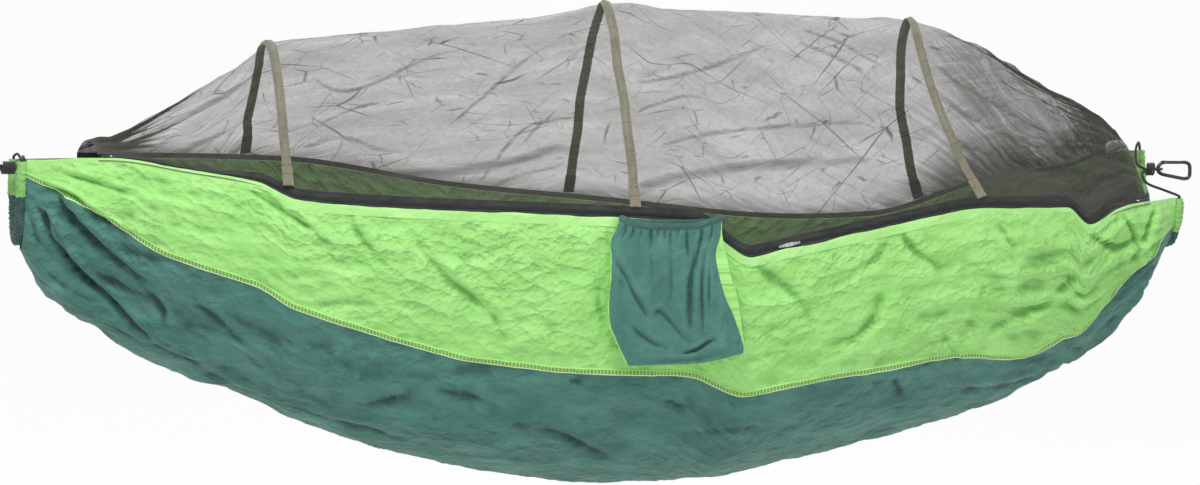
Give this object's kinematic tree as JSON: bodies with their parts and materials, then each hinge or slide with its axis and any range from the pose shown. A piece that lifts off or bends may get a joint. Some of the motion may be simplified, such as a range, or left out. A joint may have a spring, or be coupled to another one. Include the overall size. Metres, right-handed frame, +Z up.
{
  "type": "hammock tent",
  "caption": "Gathered-end nylon hammock hung by two carabiners, with a sewn-on mosquito net held up by bent rods, a zip along one side and a storage sack",
  "frame": {"origin": "the right hang point, in the middle of the flat on the inside of the right carabiner's outer bar, where a tree strap bears", "axes": "+X from the left gathered end to the right one along the hammock's length, -Y towards the side with the zip and the sack, +Z up"},
  "size_m": [2.5704, 0.7149, 1.014],
  "materials": {
    "lime_nylon": "thin crinkled ripstop nylon, light sheen",
    "teal_nylon": "thin crinkled ripstop nylon, light sheen",
    "net_mesh": "fine sheer olive-grey mosquito mesh",
    "khaki_webbing": "matt woven webbing tunnel, pinched at its stitches",
    "rod_fibre": "smooth glass fibre rod",
    "zip_tape": "matt woven tape",
    "zip_coil": "satin nylon coil",
    "slider_metal": "bright nickel plate",
    "cord": "matt braided polyester cord",
    "black_alloy": "black anodised, satin to gloss",
    "pin_steel": "plain bright steel",
    "spring_steel": "plain wire",
    "elastic": "white knitted elastic band"
  },
  "bodies": {
    "hammock": {"arch_rod_left": "rod_fibre", "arch_rod_middle": "rod_fibre", "arch_rod_right": "rod_fibre", "arch_tape_left": "khaki_webbing", "arch_tape_middle": "khaki_webbing", "arch_tape_right": "khaki_webbing", "end_channel_left": "lime_nylon", "end_channel_right": "lime_nylon", "gather_cord_left": "cord", "gather_cord_right": "cord", "hull_centre_panel": "teal_nylon", "hull_front_panel": "lime_nylon", "hull_rear_panel": "lime_nylon", "lashing_left": "cord", "lashing_right": "cord", "mosquito_net": "net_mesh", "net_rear_hem": "zip_tape", "rod_pocket_left_front": "khaki_webbing", "rod_pocket_left_rear": "khaki_webbing", "rod_pocket_middle_front": "khaki_webbing", "rod_pocket_middle_rear": "khaki_webbing", "rod_pocket_right_front": "khaki_webbing", "rod_pocket_right_rear": "khaki_webbing", "zip_coil_lower": "zip_coil", "zip_coil_upper": "zip_coil", "zip_lower_tape": "zip_tape", "zip_stop_left": "slider_metal", "zip_stop_right": "slider_metal", "zip_upper_tape": "zip_tape"},
    "carabiner_left": {"carabiner_frame_left": "black_alloy", "carabiner_gate_pin_left": "pin_steel"},
    "carabiner_gate_left": {"carabiner_gate_left": "black_alloy", "carabiner_gate_spring_left": "spring_steel"},
    "zip_slider_left": {"zip_slider_left": "slider_metal"},
    "zip_pull_tab_left": {"zip_pull_tab_left": "slider_metal"},
    "carabiner_right": {"carabiner_frame_right": "black_alloy", "carabiner_gate_pin_right": "pin_steel"},
    "carabiner_gate_right": {"carabiner_gate_right": "black_alloy", "carabiner_gate_spring_right": "spring_steel"},
    "zip_slider_right": {"zip_slider_right": "slider_metal"},
    "zip_pull_tab_right": {"zip_pull_tab_right": "slider_metal"},
    "storage_sack": {"storage_sack": "teal_nylon", "storage_sack_hem": "teal_nylon", "storage_sack_elastic": "elastic"}
  },
  "joints": [
    {"name": "carabiner_right_swing", "type": "hinge", "parent": "hammock", "child": "carabiner_right", "pos_m": [-0.0663, 0, 0.00432], "axis": [0, 0, 1], "range_deg": [-80, 80]},
    {"name": "carabiner_left_swing", "type": "hinge", "parent": "hammock", "child": "carabiner_left", "pos_m": [-2.55231, 0, 0.00332], "axis": [0, -0.4848, 0.8746], "range_deg": [0, 150]},
    {"name": "carabiner_gate_right_hinge", "type": "hinge", "parent": "carabiner_right", "child": "carabiner_gate_right", "pos_m": [-0.05195, 0, 0.01872], "axis": [0, 1, 0], "range_deg": [0, 30], "stiffness_Nm_per_rad": 0.06, "springref_deg": -17.19},
    {"name": "carabiner_gate_left_hinge", "type": "hinge", "parent": "carabiner_left", "child": "carabiner_gate_left", "pos_m": [-2.55105, 0.00552, 0.02285], "axis": [-0.9962, 0.0762, 0.0423], "range_deg": [0, 30], "stiffness_Nm_per_rad": 0.06, "springref_deg": -17.19},
    {"name": "zip_slider_left_travel", "type": "slide", "parent": "hammock", "child": "zip_slider_left", "axis": [0.9743, 0.097, 0.2035], "range_m": [-0.065, 0]},
    {"name": "zip_slider_right_travel", "type": "slide", "parent": "hammock", "child": "zip_slider_right", "axis": [0.9743, 0.097, 0.2035], "range_m": [0, 0.31]},
    {"name": "zip_pull_tab_left_hinge", "type": "hinge", "parent": "zip_slider_left", "child": "zip_pull_tab_left", "pos_m": [-0.94863, -0.32695, -0.13425], "axis": [-0.2025, -0.0202, 0.9791], "range_deg": [0, 105]},
    {"name": "zip_pull_tab_right_hinge", "type": "hinge", "parent": "zip_slider_right", "child": "zip_pull_tab_right", "pos_m": [-0.93733, -0.32582, -0.13189], "axis": [-0.2025, -0.0202, 0.9791], "range_deg": [-105, 0]},
    {"name": "storage_sack_flap", "type": "hinge", "parent": "hammock", "child": "storage_sack", "pos_m": [-1.1963, -0.34098, -0.08119], "axis": [1, 0, 0], "range_deg": [-85, 0]}
  ]
}
